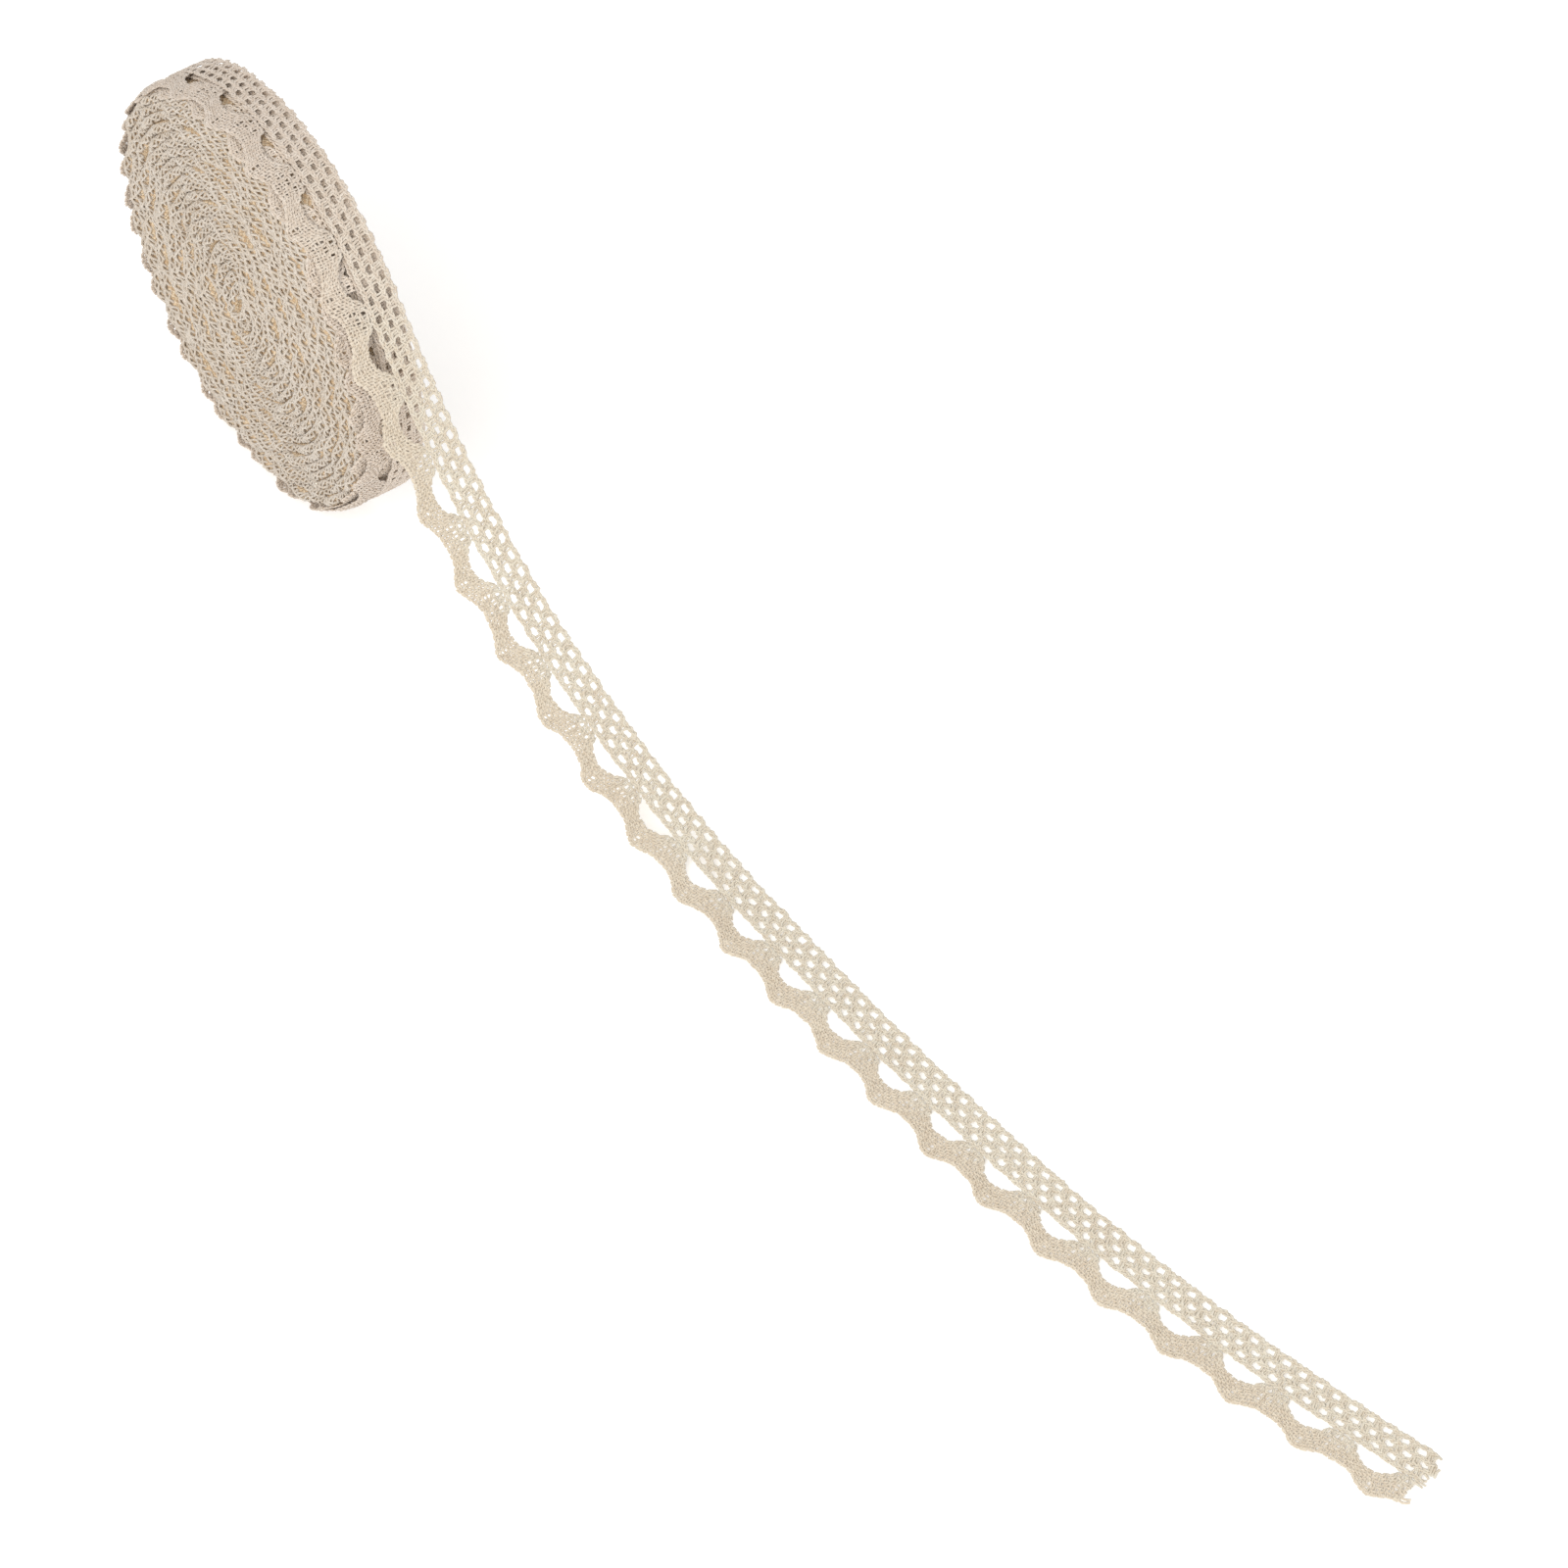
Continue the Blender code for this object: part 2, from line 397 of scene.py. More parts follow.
# both browns are painted shade: the dim, warm light deep in the roll between the turns
shaded_inner_cloth = shaded_cloth_material("shaded_inner_cloth", (0.86, 0.71, 0.52), (0.64, 0.45, 0.27))
print("finish inside the roll:", shaded_inner_cloth.name)

# %% [markdown]
# ## A tool that lays a repeat along a line
# Lace is one small net, made over and over. Copying it by hand along a spiral would be endless, so
# a Geometry Nodes tool does it: it sets the repeat down again and again on a straight row, welds
# the joins so that each yarn runs through, makes the row a little uneven, bends it along a guide,
# and, where it is asked to, spins every line into yarn.

# %% The tool's parts
def tree_node(tree, kind, links=None, **settings):
    """A node with its settings, its sockets linked or set by name or number."""
    node = tree.nodes.new(kind)
    for name, value in settings.items():
        setattr(node, name, value)
    for key, value in (links or {}).items():
        if isinstance(value, bpy.types.NodeSocket):
            tree.links.new(value, node.inputs[key])
        else:
            node.inputs[key].default_value = value
    return node


def here_parts(tree):
    """Where each point is: along, across, up."""
    return tree_node(tree, "ShaderNodeSeparateXYZ", {
        0: tree_node(tree, "GeometryNodeInputPosition").outputs[0]}).outputs


def noted(tree, geometry, name, value, kind="FLOAT"):
    """The same geometry, with a value kept at each point under a name."""
    return tree_node(tree, "GeometryNodeStoreNamedAttribute", {
        "Geometry": geometry, "Name": name, "Value": value,
    }, data_type=kind, domain="POINT").outputs[0]


def vector_math(tree, operation, first, second=None, scale=None):
    links = {0: first}
    if second is not None:
        links[1] = second
    if scale is not None:
        links["Scale"] = scale
    return tree_node(tree, "ShaderNodeVectorMath", links, operation=operation).outputs[0]


TOOL_INPUTS = (
    # name, kind
    ("Guide", "NodeSocketObject"),
    ("Ends", "NodeSocketObject"),
    ("Repeats", "NodeSocketInt"),
    ("Repeat length", "NodeSocketFloat"),
    ("Start on guide", "NodeSocketFloat"),
    ("Unevenness", "NodeSocketFloat"),
    ("Patch size", "NodeSocketFloat"),
    ("Seed", "NodeSocketFloat"),
    ("Edge curl", "NodeSocketFloat"),
    ("Spin yarn", "NodeSocketBool"),
    ("Yarn radius", "NodeSocketFloat"),
    ("Yarn flatness", "NodeSocketFloat"),
    ("Yarn sides", "NodeSocketInt"),
    ("Finish", "NodeSocketMaterial"),
)


# %% Set down and weld
WELD = 0.01 * MM


def row_of_repeats(tree, given):
    row = tree_node(tree, "GeometryNodeMeshLine", {
        "Count": given["Repeats"],
        "Start Location": tree_node(
            tree, "ShaderNodeCombineXYZ", {0: given["Start on guide"]}).outputs[0],
        "Offset": tree_node(
            tree, "ShaderNodeCombineXYZ", {0: given["Repeat length"]}).outputs[0],
    }, mode="OFFSET")
    copies = tree_node(tree, "GeometryNodeInstanceOnPoints", {
        "Points": row.outputs[0], "Instance": given["Geometry"]})
    real = tree_node(tree, "GeometryNodeRealizeInstances", {0: copies.outputs[0]})
    ends = tree_node(tree, "GeometryNodeObjectInfo", {"Object": given["Ends"]})
    joined = tree_node(tree, "GeometryNodeJoinGeometry")
    tree.links.new(real.outputs[0], joined.inputs[0])
    tree.links.new(ends.outputs["Geometry"], joined.inputs[0])
    welded = tree_node(tree, "GeometryNodeMergeByDistance", {
        0: joined.outputs[0], "Distance": WELD})
    return welded.outputs[0]


# %% Make uneven, curl and bend
CURL_REACH = 4 * MM
CURL_POWER = 1.6


def made_uneven(tree, given, geometry):
    place = tree_node(tree, "GeometryNodeInputPosition").outputs[0]
    scale = math_node(tree, "DIVIDE", 1.0, given["Patch size"])
    noise = tree_node(tree, "ShaderNodeTexNoise", {
        "Vector": place, "W": given["Seed"], "Scale": scale,
        "Detail": 2.5, "Roughness": 0.65,
    }, noise_dimensions="4D")
    centred = vector_math(tree, "SUBTRACT", noise.outputs["Color"], (0.5, 0.5, 0.5))
    flatter = vector_math(tree, "MULTIPLY", centred, (1.0, 1.0, 0.5))
    shift = vector_math(tree, "SCALE", flatter, scale=given["Unevenness"])
    return tree_node(tree, "GeometryNodeSetPosition", {
        0: geometry, "Offset": shift}).outputs[0]


def curled_edge(tree, given, geometry):
    """Let the scalloped edge sink towards the roll, more and more over its last millimetres."""
    share = math_node(tree, "MULTIPLY_ADD", here_parts(tree)[1],
                      -1 / CURL_REACH, -(WIDTH / 2 - CURL_REACH) / CURL_REACH)
    past = math_node(tree, "MAXIMUM", share, 0.0)
    grown = math_node(tree, "POWER", past, CURL_POWER)
    sink = math_node(tree, "MULTIPLY", grown, given["Edge curl"])
    down = math_node(tree, "MULTIPLY", sink, -1.0)
    offset = tree_node(tree, "ShaderNodeCombineXYZ", {2: down})
    return tree_node(tree, "GeometryNodeSetPosition", {
        0: geometry, "Offset": offset.outputs[0]}).outputs[0]


def bent_on_guide(tree, given, geometry):
    """Along becomes the way along the guide, across the way to its side, up away from it."""
    guide_line = tree_node(tree, "GeometryNodeObjectInfo", {"Object": given["Guide"]})
    curve = tree_node(tree, "GeometryNodeMeshToCurve", {0: guide_line.outputs["Geometry"]})
    side = tree_node(tree, "GeometryNodeInputNamedAttribute", {"Name": "side"},
                     data_type="FLOAT_VECTOR")
    along, across, height = here_parts(tree)
    sample = tree_node(tree, "GeometryNodeSampleCurve", {
        "Curves": curve.outputs[0], "Value": side.outputs[0], "Length": along,
    }, mode="LENGTH", data_type="FLOAT_VECTOR")
    edge_way = vector_math(tree, "NORMALIZE", sample.outputs["Value"])
    up = vector_math(tree, "NORMALIZE",
                     vector_math(tree, "CROSS_PRODUCT", sample.outputs["Tangent"], edge_way))
    aside = vector_math(tree, "SCALE", edge_way, scale=across)
    raised = vector_math(tree, "SCALE", up, scale=height)
    target = vector_math(tree, "ADD", sample.outputs["Position"],
                         vector_math(tree, "ADD", aside, raised))
    turned = noted(tree, geometry, "cloth_up", up, "FLOAT_VECTOR")
    return tree_node(tree, "GeometryNodeSetPosition", {
        0: turned, "Position": target}).outputs[0]


# %% Spin into yarn
SWELL = (1.2 * MM, 0.7, 0.65)   # length of a thick place, how much thicker, the thinnest share


def spun(tree, given, geometry):
    """Every line becomes a tube: flat across the cloth, thicker and thinner on its way."""
    lines = tree_node(tree, "GeometryNodeMeshToCurve", {0: geometry})
    cloth_up = tree_node(tree, "GeometryNodeInputNamedAttribute", {"Name": "cloth_up"},
                         data_type="FLOAT_VECTOR")
    levelled = tree_node(tree, "GeometryNodeSetCurveNormal", {
        "Curve": lines.outputs[0], "Normal": cloth_up.outputs[0]}, mode="FREE")
    length = tree_node(tree, "GeometryNodeSplineParameter").outputs["Length"]
    measured = noted(tree, levelled.outputs[0], "along", length)
    circle = tree_node(tree, "GeometryNodeCurvePrimitiveCircle", {
        "Resolution": given["Yarn sides"], "Radius": given["Yarn radius"]}, mode="RADIUS")
    rim = tree_node(tree, "ShaderNodeVectorMath", {
        0: tree_node(tree, "GeometryNodeInputPosition").outputs[0]}, operation="NORMALIZE")
    marked = noted(tree, circle.outputs[0], "around", rim.outputs[0], "FLOAT_VECTOR")
    squash = tree_node(tree, "ShaderNodeCombineXYZ", {0: given["Yarn flatness"], 1: 1.0, 2: 1.0})
    profile = tree_node(tree, "GeometryNodeTransform", {
        0: marked, "Scale": squash.outputs[0]})
    thickness = tree_node(tree, "ShaderNodeTexNoise", {
        "Vector": tree_node(tree, "GeometryNodeInputPosition").outputs[0],
        "Scale": 1 / SWELL[0], "Detail": 1.0})
    swell = math_node(tree, "MULTIPLY_ADD", thickness.outputs["Fac"], SWELL[1], SWELL[2])
    tubes = tree_node(tree, "GeometryNodeCurveToMesh", {
        "Curve": measured, "Profile Curve": profile.outputs[0],
        "Scale": swell, "Fill Caps": True})
    return tubes.outputs[0]


# %% Put the tool together
def make_tool():
    tree = bpy.data.node_groups.new("lay_lace", "GeometryNodeTree")
    tree.is_modifier = True
    tree.interface.new_socket("Geometry", in_out="INPUT", socket_type="NodeSocketGeometry")
    for name, kind in TOOL_INPUTS:
        tree.interface.new_socket(name, in_out="INPUT", socket_type=kind)
    tree.interface.new_socket("Geometry", in_out="OUTPUT", socket_type="NodeSocketGeometry")

    given = tree_node(tree, "NodeGroupInput").outputs
    row = row_of_repeats(tree, given)
    across = math_node(tree, "SUBTRACT", WIDTH / 2, here_parts(tree)[1])
    marked = noted(tree, row, "across", across)
    measured = noted(tree, marked, "on_guide", here_parts(tree)[0])
    uneven = made_uneven(tree, given, measured)
    bent = bent_on_guide(tree, given, curled_edge(tree, given, uneven))
    choice = tree_node(tree, "GeometryNodeSwitch", {
        "Switch": given["Spin yarn"], "False": bent, "True": spun(tree, given, bent)},
        input_type="GEOMETRY")
    smooth = tree_node(tree, "GeometryNodeSetShadeSmooth", {0: choice.outputs[0]})
    real = tree_node(tree, "GeometryNodeRealizeInstances", {0: smooth.outputs[0]})
    finished = tree_node(tree, "GeometryNodeSetMaterial", {
        0: real.outputs[0], "Material": given["Finish"]})
    tree_node(tree, "NodeGroupOutput", {0: finished.outputs[0]})
    return tree


lay_lace = make_tool()
print("the tool has", len(lay_lace.nodes), "nodes")


# %% Use the tool
def laid(name, repeat_mesh, **values):
    """Lay a repeat along a guide and keep the result as a plain mesh."""
    piece = placed(name, repeat_mesh)
    modifier = piece.modifiers.new("lay", "NODES")
    modifier.node_group = lay_lace
    sockets = {item.name: item.identifier for item in lay_lace.interface.items_tree
               if item.in_out == "INPUT"}
    for key, value in values.items():
        modifier[sockets[key]] = value
    depsgraph = bpy.context.evaluated_depsgraph_get()
    mesh = bpy.data.meshes.new_from_object(piece.evaluated_get(depsgraph))
    piece.modifiers.clear()
    piece.data = mesh
    mesh.calc_loop_triangles()
    print(name, "has", len(mesh.loop_triangles), "triangles")
    return piece


# %% [markdown]
# ## One repeat of the lace
# The strip has three parts. The ground is four thin plaits that run the whole length, drawn
# together by short bars so that three rows of small holes open between them. The band along the
# scallops is cloth stitch: seven straight yarns, with one worker going over and under them and
# turning at each side. Between the two, one large eyelet to each scallop, closed by a bridge where
# the worker reaches across to the ground. A flat sheet with holes cut in it would be quicker, but
# its holes would have sharp, smooth edges and its surface no yarns. So the net is drawn line by
# line, one line of points for each yarn, with the middle of the eyelet at zero along the strip and
# the straight edge at zero across it.

# %% Outlines of the repeat
HOLE_PITCH = REPEAT / 4
GROUND_SHIFT = 0.85 * MM        # the ground's holes, along, against the middle of the eyelet
EYELET_MIDDLE = -0.35 * MM
EYELET_HALF = 3.7 * MM
EYELET_DEPTH = 2.3 * MM
GROUND_EDGE = 6.05 * MM


def outer_edge(u):
    """Where the scallops end, across the strip: narrow tips and wide valleys."""
    tip = 0.5 + 0.5 * math.cos(math.tau * (u / REPEAT - TIP_LEAD))
    return WIDTH - SCALLOP_DEPTH * (1 - tip ** 1.9)


def inner_edge(u):
    """Where the band ends on its inner side: round the eyelet, then along the bridge."""
    share = 1 - ((u - EYELET_MIDDLE) / EYELET_HALF) ** 2
    return GROUND_EDGE + EYELET_DEPTH * max(share, 0.0) ** 0.7


print("the band at the eyelet and at the bridge:",
      [round((outer_edge(u) - inner_edge(u)) / MM, 1) for u in (EYELET_MIDDLE, REPEAT / 2)], "mm")


# %% A flat net of yarn
def flat_points(points, stretch=1.0):
    """Points given from the straight edge, moved so that the strip's middle is at zero across."""
    return [(u * stretch, WIDTH / 2 - v, w) for u, v, w in points]


class Net:
    """Points and edges of yarn lines, laid flat: along, across from the straight edge, up."""

    def __init__(self):
        self.points = []
        self.edges = []

    def strand(self, points):
        start = len(self.points)
        self.points.extend(points)
        self.edges.extend((i, i + 1) for i in range(start, start + len(points) - 1))

    def mesh(self, name, stretch=1.0):
        made = bpy.data.meshes.new(name)
        made.from_pydata(flat_points(self.points, stretch), self.edges, [])
        return made


def spread_hole(points, centre, radius, reach):
    """Push yarn away from a point, so that a small hole opens there in every repeat."""
    moved = []
    for u, v, w in points:
        for shift in (-REPEAT, 0.0, REPEAT):
            du = u - centre[0] - shift
            dv = v - centre[1]
            away = math.hypot(du, dv)
            if 0 < away < reach:
                grown = radius + away * (1 - radius / reach)
                u += du * (grown / away - 1)
                v += dv * (grown / away - 1)
        moved.append((u, v, w))
    return moved


# %% The ground
PLAIT_LINES = (
    # across, wave towards the straight edge or away from it, in millimetres
    (0.55, -0.15),
    (2.15, 0.02),
    (3.74, -0.02),
    (5.33, 0.05),
)
PLAIT_REACH = 0.33 * MM
PLAIT_HEIGHT = 0.13 * MM


def plait_middle(row, u):
    across, wave = PLAIT_LINES[row]
    return (across + wave * math.cos(math.tau * (u - GROUND_SHIFT) / HOLE_PITCH)) * MM


def ground_plaits(net, samples=24):
    """Each plait is three strands that take turns to cross over one another."""
    for row in range(len(PLAIT_LINES)):
        for strand in range(3):
            points = []
            for sample in range(samples + 1):
                u = REPEAT * (sample / samples - 0.5)
                turn = math.tau * ((u - GROUND_SHIFT) / HOLE_PITCH + strand / 3 + 0.1 * row)
                points.append((u, plait_middle(row, u) + PLAIT_REACH * math.cos(turn),
                               PLAIT_HEIGHT * math.sin(2 * turn)))
            net.strand(points)


# %% The bars between the plaits
BAR_OVERLAP = 0.05 * MM         # past the middle of the plait that a bar ends on
BAR_DROP = 0.05 * MM            # its ends pass under the plait's upper strand
BAR_BEND = 0.35                 # share of the way across at which the yarns bend
BAR_WAIST = 0.6                 # share of the waist that they have reached there
BAR_YARNS = (
    # along at the near line, at the middle and at the far line, rise at the middle
    (-0.86, -0.56, -0.66, 0.02),
    (-0.42, -0.20, 0.02, 0.14),
    (-0.02, 0.20, 0.42, -0.06),
    (0.66, 0.56, 0.86, 0.08),
)


def ground_bars(net):
    for row in range(3):
        for column in range(4):
            middle = HOLE_PITCH * (column - 1.5 + 0.5 * (row % 2)) + GROUND_SHIFT
            low = plait_middle(row, middle) - BAR_OVERLAP
            high = plait_middle(row + 1, middle) + BAR_OVERLAP
            bend = BAR_BEND * (high - low)
            for near, waist, far, rise in BAR_YARNS:
                first = near + BAR_WAIST * (waist - near)
                second = far + BAR_WAIST * (waist - far)
                net.strand([
                    (middle + near * MM, low, -BAR_DROP),
                    (middle + first * MM, low + bend, 0.6 * rise * MM),
                    (middle + second * MM, high - bend, rise * MM),
                    (middle + far * MM, high, -BAR_DROP),
                ])


# %% The band
PASSIVES = 7                    # the straight yarns
PASSES = 24                     # how often the worker crosses them in one repeat
WEAVE_HEIGHT = 0.17 * MM
EDGE_INSET = 0.25 * MM
WORKER_REACH = 0.05 * MM        # past the band's inner edge, to catch the ground

HOLE_REACH = 1.15 * MM          # yarn nearer to a small hole than this is pushed aside
SMALL_HOLES = (
    # along, across, radius, in millimetres
    (5.1, 6.8, 0.38),
    (5.8, 7.9, 0.40),
    (4.4, 8.3, 0.30),
    (-5.0, 7.2, 0.26),
    (1.1, 10.6, 0.32),
)


def passive_across(u, number):
    room = outer_edge(u) - inner_edge(u) - 2 * EDGE_INSET
    return outer_edge(u) - EDGE_INSET - room * number / (PASSIVES - 1)


def with_small_holes(points):
    for along, across, radius in SMALL_HOLES:
        points = spread_hole(points, (along * MM, across * MM), radius * MM, HOLE_REACH)
    return points


def band_passives(net):
    for number in range(PASSIVES):
        points = []
        for step in range(PASSES + 1):
            u = REPEAT * (step / PASSES - 0.5)
            sign = 1 if (number + step) % 2 == 0 else -1
            points.append((u, passive_across(u, number), -0.5 * WEAVE_HEIGHT * sign))
        net.strand(with_small_holes(points))


def band_worker(net):
    points = [(-REPEAT / 2, inner_edge(-REPEAT / 2) - WORKER_REACH, 0.0)]
    for step in range(PASSES):
        u = REPEAT * ((step + 0.5) / PASSES - 0.5)
        order = range(PASSIVES - 1, -1, -1) if step % 2 == 0 else range(PASSIVES)
        crossing = []
        for number in order:
            sign = 1 if (number + step) % 2 == 0 else -1
            crossing.append((u, passive_across(u, number), WEAVE_HEIGHT * sign))
        inside = (u, inner_edge(u) - WORKER_REACH, 0.0)
        outside = (u, outer_edge(u), 0.0)
        ends = (inside, outside) if step % 2 == 0 else (outside, inside)
        points += [ends[0], *crossing, ends[1]]
    points.append((REPEAT / 2, inner_edge(REPEAT / 2) - WORKER_REACH, 0.0))
    net.strand(with_small_holes(points))


# %% Draw one repeat
lace_net = Net()
ground_plaits(lace_net)
ground_bars(lace_net)
band_passives(lace_net)
band_worker(lace_net)
lace_repeat = lace_net.mesh("lace_repeat")
drawn = sum(math.dist(lace_net.points[a], lace_net.points[b]) for a, b in lace_net.edges)
print("one repeat takes", round(drawn / MM), "mm of yarn in", len(lace_net.edges), "steps")

# %% [markdown]
# ## The loose end
# Twenty-one repeats, laid from the bridge where the strip has just left the roll to the cut. Past
# the cut the yarns have slipped apart, so most go on a little and bend their own way: these ends are
# short lines drawn with a fixed seed, and the tool welds them on. The few yarns that a small hole
# pushes off the cut line get none and end there.

# %% The frayed cut
FRAY_STEPS = 3
loose_start = exit_on_run + JOIN
cut = loose_start + LOOSE_REPEATS * REPEAT


def frayed_ends():
    """Short lines on from the yarns that end at the cut, longer towards the scallops."""
    chance = np.random.default_rng(7)
    fray = Net()
    for a, b in lace_net.edges:
        for end in (a, b):
            u, v, w = lace_net.points[end]
            if abs(u - REPEAT / 2) > 1e-7:
                continue
            reach = (0.3 + 0.09 * v / MM + chance.uniform(0.0, 0.8)) * MM
            drift = chance.uniform(-0.45, 0.45) * MM
            rise = chance.uniform(-0.1, 0.35) * MM
            points = []
            for step in range(FRAY_STEPS + 1):
                share = step / FRAY_STEPS
                points.append((cut + reach * share, v + drift * share ** 2,
                               w + rise * share ** 2))
            fray.strand(points)
    return fray.mesh("frayed_ends")


fray_guide = placed("fray_guide", frayed_ends())
print("yarn ends at the cut:", len(fray_guide.data.edges) // FRAY_STEPS)

# %% Lay the loose end
LACE_YARN = {"Spin yarn": True, "Yarn radius": 0.21 * MM, "Yarn flatness": 0.57, "Yarn sides": 5,
             "Unevenness": 1.05 * MM, "Patch size": 1.9 * MM, "Seed": 3.0}
row_start = loose_start + REPEAT / 2

loose_lace = laid(
    "loose_lace", lace_repeat, Guide=run_guide, Ends=fray_guide, Repeats=LOOSE_REPEATS,
    Finish=loose_yarn, **{"Repeat length": REPEAT, "Start on guide": row_start}, **LACE_YARN)

# %% [markdown]
# ## The outer turn
# The same net goes on round the roll for just over one full turn, so that the pattern runs through
# from the band of the roll into the loose end. Its scalloped edge sinks a little towards the turns below,
# as an edge does that nothing stretches.

# %% Lay the outer turn
outer_start = row_start - OUTER_REPEATS * REPEAT

outer_lace = laid(
    "outer_turn_lace", lace_repeat.copy(), Guide=run_guide, Repeats=OUTER_REPEATS,
    Finish=roll_yarn,
    **{"Repeat length": REPEAT, "Start on guide": outer_start, "Edge curl": 0.8 * MM},
    **LACE_YARN)

# %% [markdown]
# ## The turn below it
# Through the holes of the outer turn, the next turn shows. With its own holes straight below them
# one would look deep into the roll, and the eyelets would be black. On the real roll the patterns
# drift apart from turn to turn, so this turn is a little slacker, and it is tucked along until its
# bridges lie behind the outer eyelets.

# %% Lay the turn below
second_start = (loose_start + TUCK - OUTER_REPEATS * REPEAT
                - (SECOND_REPEATS - 0.5) * REPEAT * SLACK)

second_lace = laid(
    "second_turn_lace", lace_net.mesh("slack_repeat", SLACK), Guide=run_guide,
    Repeats=SECOND_REPEATS, Finish=under_yarn,
    **{"Repeat length": REPEAT * SLACK, "Start on guide": second_start, "Edge curl": 0.5 * MM},
    **LACE_YARN)

# %% [markdown]
# ## The turns underneath
# Of the inner turns only the edges show, and a shaded glimpse through the holes. Two dozen turns of
# full lace would be millions of faces that nobody sees. So they are one ribbon of cloth, wound on
# the same spiral, with rounded edges and the same scallops. It is a little thicker than the pitch
# of the turns, so that no light falls through between them. Its outline repeats along the ribbon,
# and the tool welds and bends it, as it does the lace.

# %% The ribbon's repeat
WOUND_REPEATS = round(wound_length / REPEAT)
FIT = wound_length / (WOUND_REPEATS * REPEAT)       # so that whole repeats fill the spiral
RIBBON_HALF = 0.80 * MM
RIBBON_STATIONS = 10
RIBBON_NEAR = 0.35 * MM                             # in from the straight edge
RIBBON_FAR = 0.45 * MM                              # in from the scallops
RIBBON_ROUND = 0.45 * MM
RING = 8                                            # corners of the ribbon's outline


def wound_edge(u):
    """The scallops of the inner turns, half flattened by the winding."""
    return WIDTH - 0.35 * MM - 0.5 * (WIDTH - outer_edge(u))


def ribbon_ring(u):
    """The ribbon's outline at one place: round edges, flat in between."""
    near = RIBBON_NEAR
    far = wound_edge(u) - RIBBON_FAR
    return [
        (u, near, 0.0),
        (u, near + RIBBON_ROUND, RIBBON_HALF),
        (u, WIDTH / 2, RIBBON_HALF),
        (u, far - RIBBON_ROUND, RIBBON_HALF),
        (u, far, 0.0),
        (u, far - RIBBON_ROUND, -RIBBON_HALF),
        (u, WIDTH / 2, -RIBBON_HALF),
        (u, near + RIBBON_ROUND, -RIBBON_HALF),
    ]


def ribbon_repeat():
    points = []
    faces = []
    for station in range(RIBBON_STATIONS + 1):
        u = REPEAT * (station / RIBBON_STATIONS - 0.5)
        points += flat_points(ribbon_ring(u), FIT)
    for station in range(RIBBON_STATIONS):
        for corner in range(RING):
            here = station * RING + corner
            after = station * RING + (corner + 1) % RING
            faces.append((here, after, after + RING, here + RING))
    mesh = bpy.data.meshes.new("ribbon_repeat")
    mesh.from_pydata(points, [], faces)
    return mesh


# %% The ribbon's ends
def ribbon_caps():
    """The two faces that close the ribbon's ends."""
    points = []
    for place, u in ((0.0, -REPEAT / 2), (wound_length, REPEAT / 2)):
        ring = flat_points(ribbon_ring(u))
        points += [(place, y, z) for _, y, z in ring]
    mesh = bpy.data.meshes.new("ribbon_caps")
    first = tuple(reversed(range(RING)))
    last = tuple(range(RING, 2 * RING))
    mesh.from_pydata(points, [], [first, last])
    return mesh


# %% Wind the ribbon
cap_guide = placed("cap_guide", ribbon_caps())
WOUND_ROW = {"Guide": wound_guide, "Repeats": WOUND_REPEATS, "Repeat length": REPEAT * FIT,
             "Start on guide": REPEAT * FIT / 2, "Seed": 5.0}

wound_turns = laid(
    "wound_turns", ribbon_repeat(), Ends=cap_guide, Finish=shaded_inner_cloth,
    **{"Unevenness": 0.25 * MM, "Patch size": 2.6 * MM, "Spin yarn": False}, **WOUND_ROW)

# %% [markdown]
# ## The edges of the turns
# From the side, each turn shows its yarns where they turn back round the edge, some slanting one
# way and some the other. Together they look like a loose rope laid along the ribbon's edge. So one
# repeat of rope is drawn for the scalloped side, from five yarns, and one for the straight side,
# from four, with the small bumps of the ground's holes.

# %% Ropes along both edges
ROPE_INSET = 0.62 * MM          # the rope's middle lies this far in from the turn's edge
ROPE_BUMP = 0.10 * MM
ROPE_YARNS = (
    # loops in one repeat, share of a loop at which the yarn starts
    (3, 0.0),
    (3, 0.34),
    (3, 0.67),
    (-2, 0.1),
    (-2, 0.6),
)


def edge_rope(strands, samples, middle_of, half_width, half_height):
    """Yarns that wind round an edge. Each strand: loops to a repeat, share of a loop it starts."""
    rope = Net()
    for loops, start in strands:
        steps = abs(loops) * samples
        points = []
        for step in range(steps + 1):
            u = REPEAT * (step / steps - 0.5)
            turn = math.tau * (loops * step / steps + start)
            v = middle_of(u) + half_width * math.cos(turn)
            points.append((u, v, half_height * math.sin(turn)))
        rope.strand(points)
    return rope


def scallop_rope_middle(u):
    return wound_edge(u) - ROPE_INSET


def straight_rope_middle(u):
    return ROPE_INSET + ROPE_BUMP * math.cos(math.tau * u / HOLE_PITCH)


scallop_rope = edge_rope(ROPE_YARNS, 7, scallop_rope_middle, 0.55 * MM, 0.56 * MM)
straight_rope = edge_rope(ROPE_YARNS[:4], 6, straight_rope_middle, 0.48 * MM, 0.54 * MM)

# %% Lay the ropes
ROPE_YARN = {"Spin yarn": True, "Yarn radius": 0.24 * MM, "Yarn flatness": 1.0, "Yarn sides": 4,
             "Unevenness": 0.9 * MM, "Patch size": 1.6 * MM, "Finish": shaded_edge_yarn}

scalloped_edges = laid("scalloped_edges", scallop_rope.mesh("scallop_rope", FIT),
                       **ROPE_YARN, **WOUND_ROW)
straight_edges = laid("straight_edges", straight_rope.mesh("straight_rope", FIT),
                      **ROPE_YARN, **WOUND_ROW)

# %% Put the guides away
for helper in (run_guide, wound_guide, fray_guide, cap_guide):
    bpy.data.objects.remove(helper, do_unlink=True)

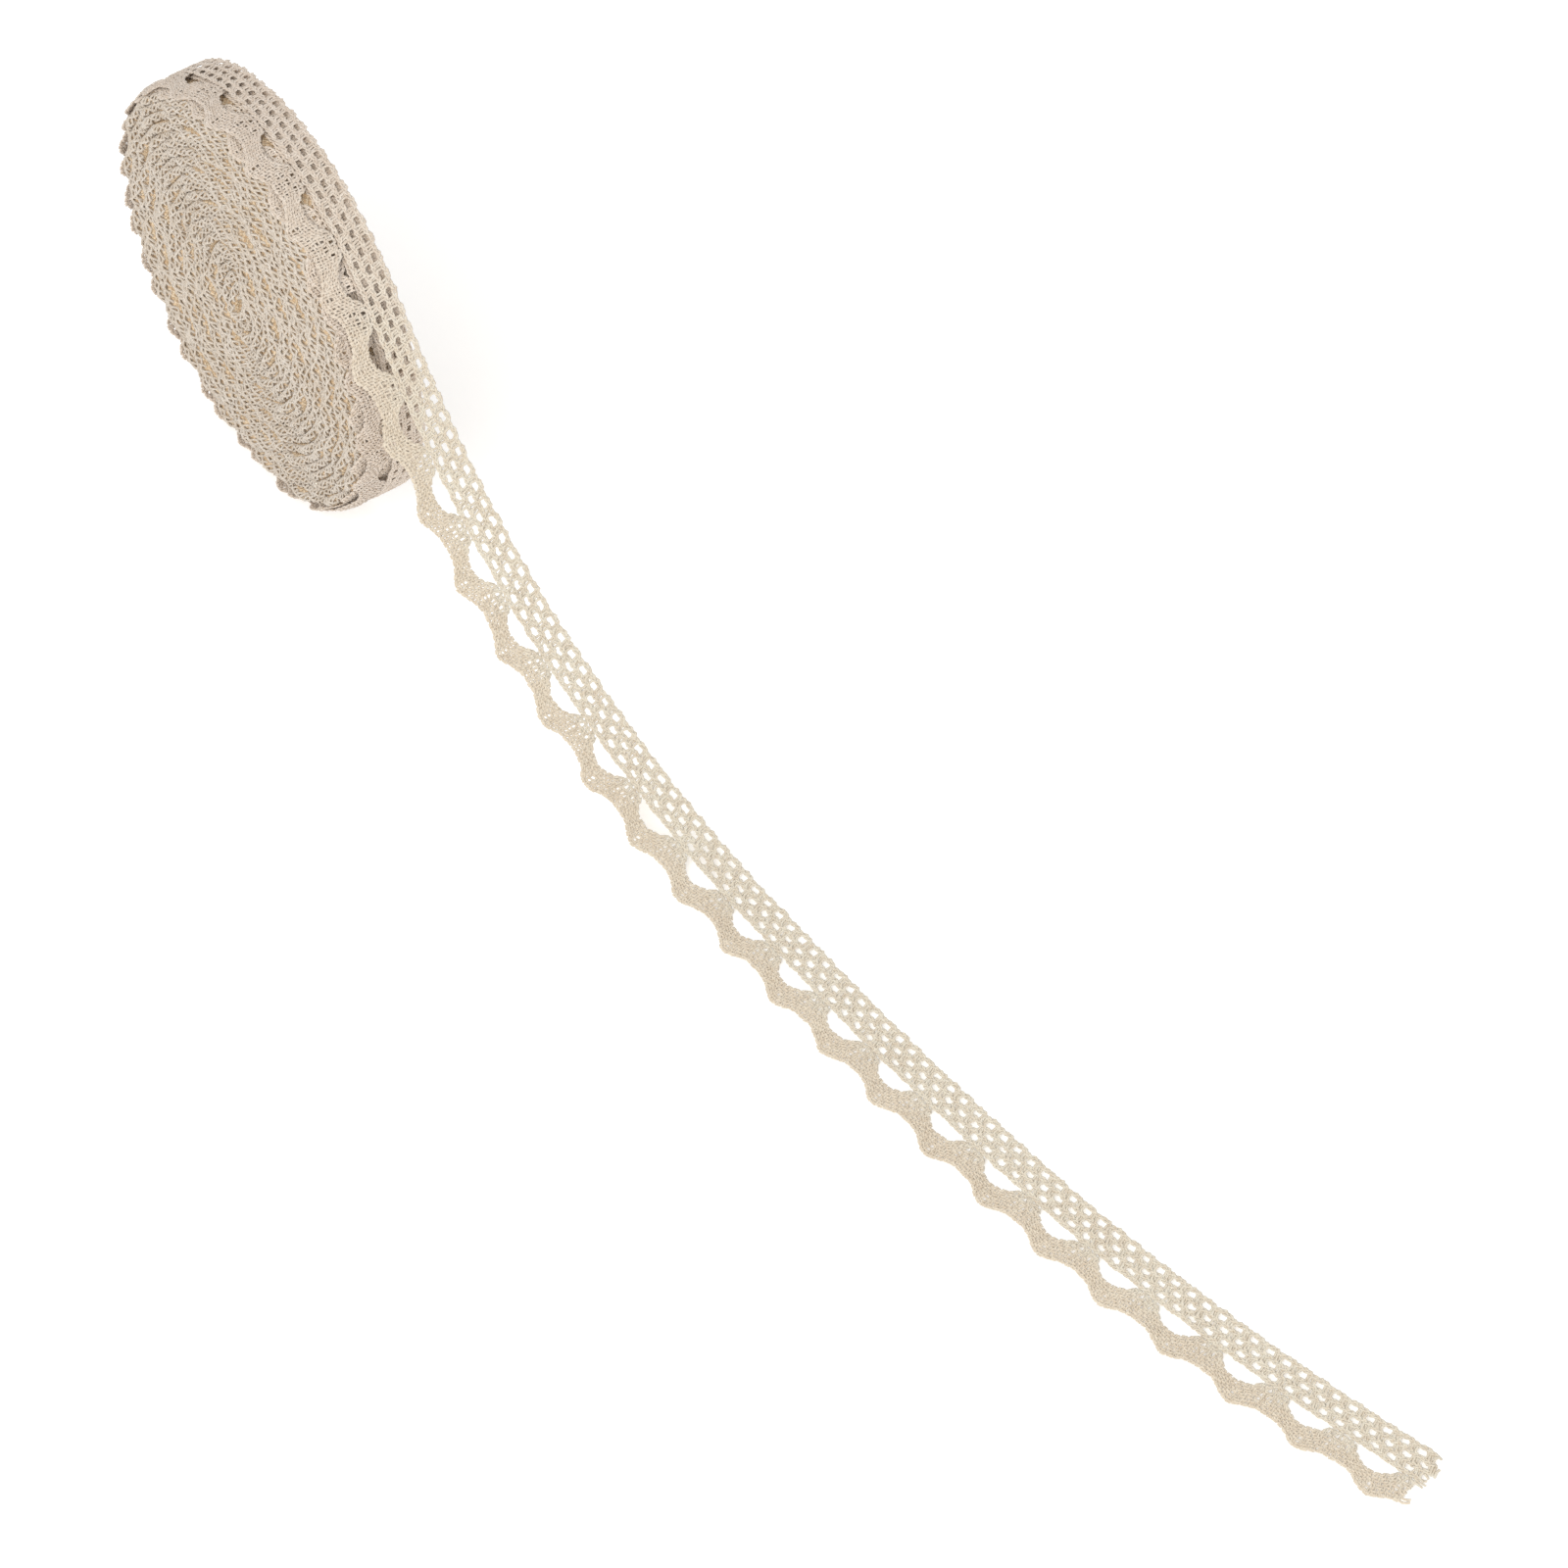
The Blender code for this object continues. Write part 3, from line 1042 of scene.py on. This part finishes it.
# %% [markdown]
# ## Table, light and camera
# A plain pale table and broad, soft lights, as in a product shot. The table glows faintly: painted light,
# without which the lace would shade it and its own holes would look grey. The camera looks down on the
# scalloped side of the roll and along the loose end. It is placed by measuring how wide the imported
# model looks from that direction, so that the whole roll fills the frame.

# %% Table
TABLE_HALF = 3.0
# the table's glow is painted light that washes out the shade the lace casts on it
TABLE_PAINTED_GLOW = 0.35


def make_table():
    mesh = bpy.data.meshes.new("table")
    corners = [(x * TABLE_HALF, y * TABLE_HALF, 0) for x, y in ((-1, -1), (1, -1), (1, 1), (-1, 1))]
    mesh.from_pydata(corners, [], [(0, 1, 2, 3)])
    material, _, shader = new_material("table_white", 0.7, 0.0)
    shader.inputs["Base Color"].default_value = (0.85, 0.85, 0.85, 1)
    shader.inputs["Emission Color"].default_value = (1.0, 0.995, 0.985, 1)
    shader.inputs["Emission Strength"].default_value = TABLE_PAINTED_GLOW
    mesh.materials.append(material)
    return placed("table", mesh)


make_table()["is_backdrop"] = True
print("table:", 2 * TABLE_HALF, "m wide")

# %% Camera
CAMERA_AZIMUTH = math.radians(-34.5)
CAMERA_ELEVATION = math.radians(50)
CAMERA_DISTANCE = 0.9
FRAME_MARGIN = 1.08
SENSOR = 36.0                   # the camera's own unit, millimetres

back = Vector((math.sin(CAMERA_AZIMUTH) * math.cos(CAMERA_ELEVATION),
               -math.cos(CAMERA_AZIMUTH) * math.cos(CAMERA_ELEVATION),
               math.sin(CAMERA_ELEVATION)))
turned = (-back).to_track_quat("-Z", "Y")
right = turned @ Vector((1, 0, 0))
up = turned @ Vector((0, 1, 0))
corners = [node.matrix_world @ vertex.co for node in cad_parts.values()
           for vertex in node.data.vertices]
centre = sum(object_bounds(), Vector()) / 2
for _ in range(3):
    eye = centre + back * CAMERA_DISTANCE
    seen = [((c - eye).dot(right) / (eye - c).dot(back),
             (c - eye).dot(up) / (eye - c).dot(back)) for c in corners]
    low = [min(s[axis] for s in seen) for axis in range(2)]
    high = [max(s[axis] for s in seen) for axis in range(2)]
    centre += right * (low[0] + high[0]) / 2 * CAMERA_DISTANCE
    centre += up * (low[1] + high[1]) / 2 * CAMERA_DISTANCE

camera_data = bpy.data.cameras.new("camera")
camera = placed("camera", camera_data)
camera.location = centre + back * CAMERA_DISTANCE
camera.rotation_mode = "QUATERNION"
camera.rotation_quaternion = turned
reach = max(high[0] - low[0], high[1] - low[1]) * FRAME_MARGIN
camera_data.sensor_width = SENSOR
camera_data.lens = SENSOR / reach
bpy.context.scene.camera = camera
print("lens", round(camera_data.lens), "mm from", CAMERA_DISTANCE, "m")


# %% Lights
def soft_light(name, place, target, size, power, colour):
    light = bpy.data.lights.new(name, "AREA")
    light.shape = "DISK"
    light.size = size
    light.energy = power
    light.color = colour
    lamp = placed(name, light)
    lamp.location = place
    lamp.rotation_mode = "QUATERNION"
    lamp.rotation_quaternion = (Vector(target) - Vector(place)).to_track_quat("-Z", "Y")
    print(name, "light:", power, "W,", size, "m wide")


LIT_PLACE = (0, -0.1, 0)
soft_light("key", (-0.75, -0.45, 0.8), LIT_PLACE, 0.9, 7.0, (1.0, 0.985, 0.96))
soft_light("fill", (0.8, -0.7, 0.7), LIT_PLACE, 0.9, 2.0, (0.97, 0.98, 1.0))

# %% The room's own light
world = bpy.data.worlds.new("studio")
world.use_nodes = True
glow = world.node_tree.nodes["Background"]
glow.inputs["Color"].default_value = (1.0, 0.99, 0.975, 1)
glow.inputs["Strength"].default_value = 0.74
bpy.context.scene.world = world
bpy.context.scene.view_settings.view_transform = "Standard"
print("room light:", round(glow.inputs["Strength"].default_value, 2))

# %% [markdown]
# ## Tie the pieces to the model
# The lace stands for the two imported solids, and nothing moves, so every piece goes with the one
# body. The loose end lies on the table, and the wound strip is rolled up; the ropes are the edges of
# the ribbon.

ROLL_PIECES = (outer_lace, second_lace, wound_turns, scalloped_edges, straight_edges)
for piece in (*ROLL_PIECES, loose_lace):
    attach(piece, "root")
for piece in ROLL_PIECES:
    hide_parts("wound_roll")
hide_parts("loose_end")
